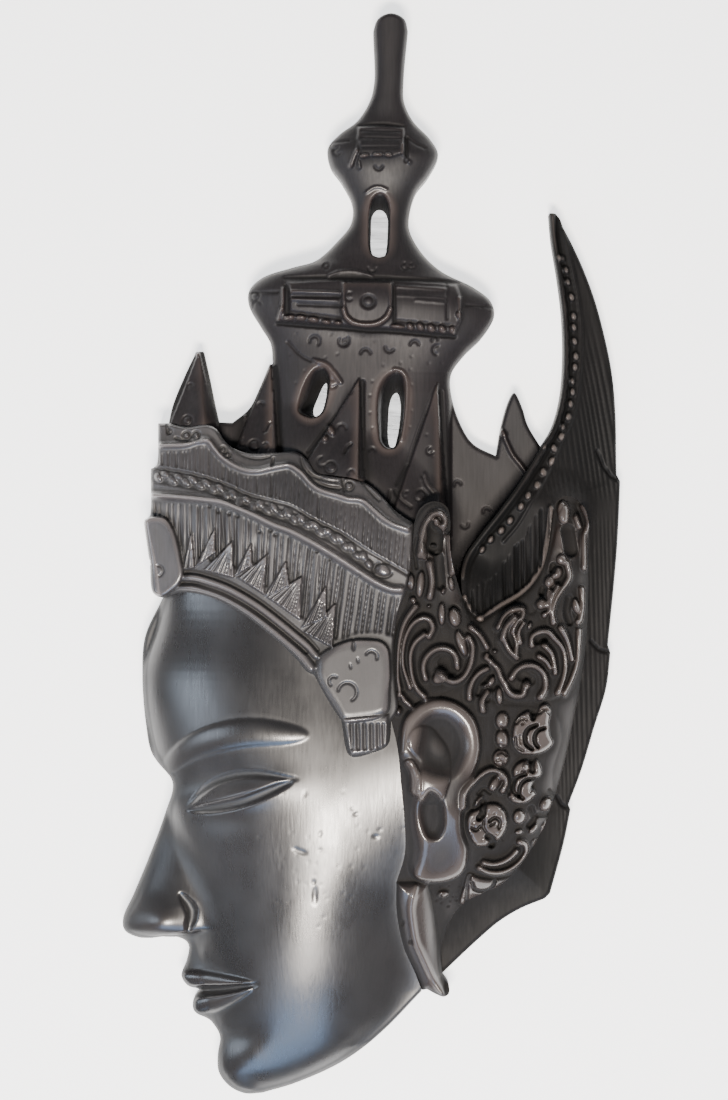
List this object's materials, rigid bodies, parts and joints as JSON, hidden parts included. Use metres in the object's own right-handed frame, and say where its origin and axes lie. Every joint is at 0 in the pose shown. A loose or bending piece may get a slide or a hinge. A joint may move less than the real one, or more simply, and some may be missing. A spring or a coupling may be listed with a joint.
{
  "type": "carved wooden wall mask",
  "caption": "Flat-backed relief mask carved from one board: a head in profile with a tiered pierced crown, ribbed diadem, scrolled leaves and a tall curved wing.",
  "frame": {"origin": "middle of the flat back's bounding rectangle, on the surface that the mask lies on", "axes": "+Z out of the carving, +Y from the chin to the finial, +X from the face to the wing"},
  "size_m": [0.2304, 0.4994, 0.062],
  "materials": {
    "dark_wood": "dark stained, rubbed to a soft polish"
  },
  "bodies": {
    "root": {"carved_mask": "dark_wood"}
  },
  "joints": []
}
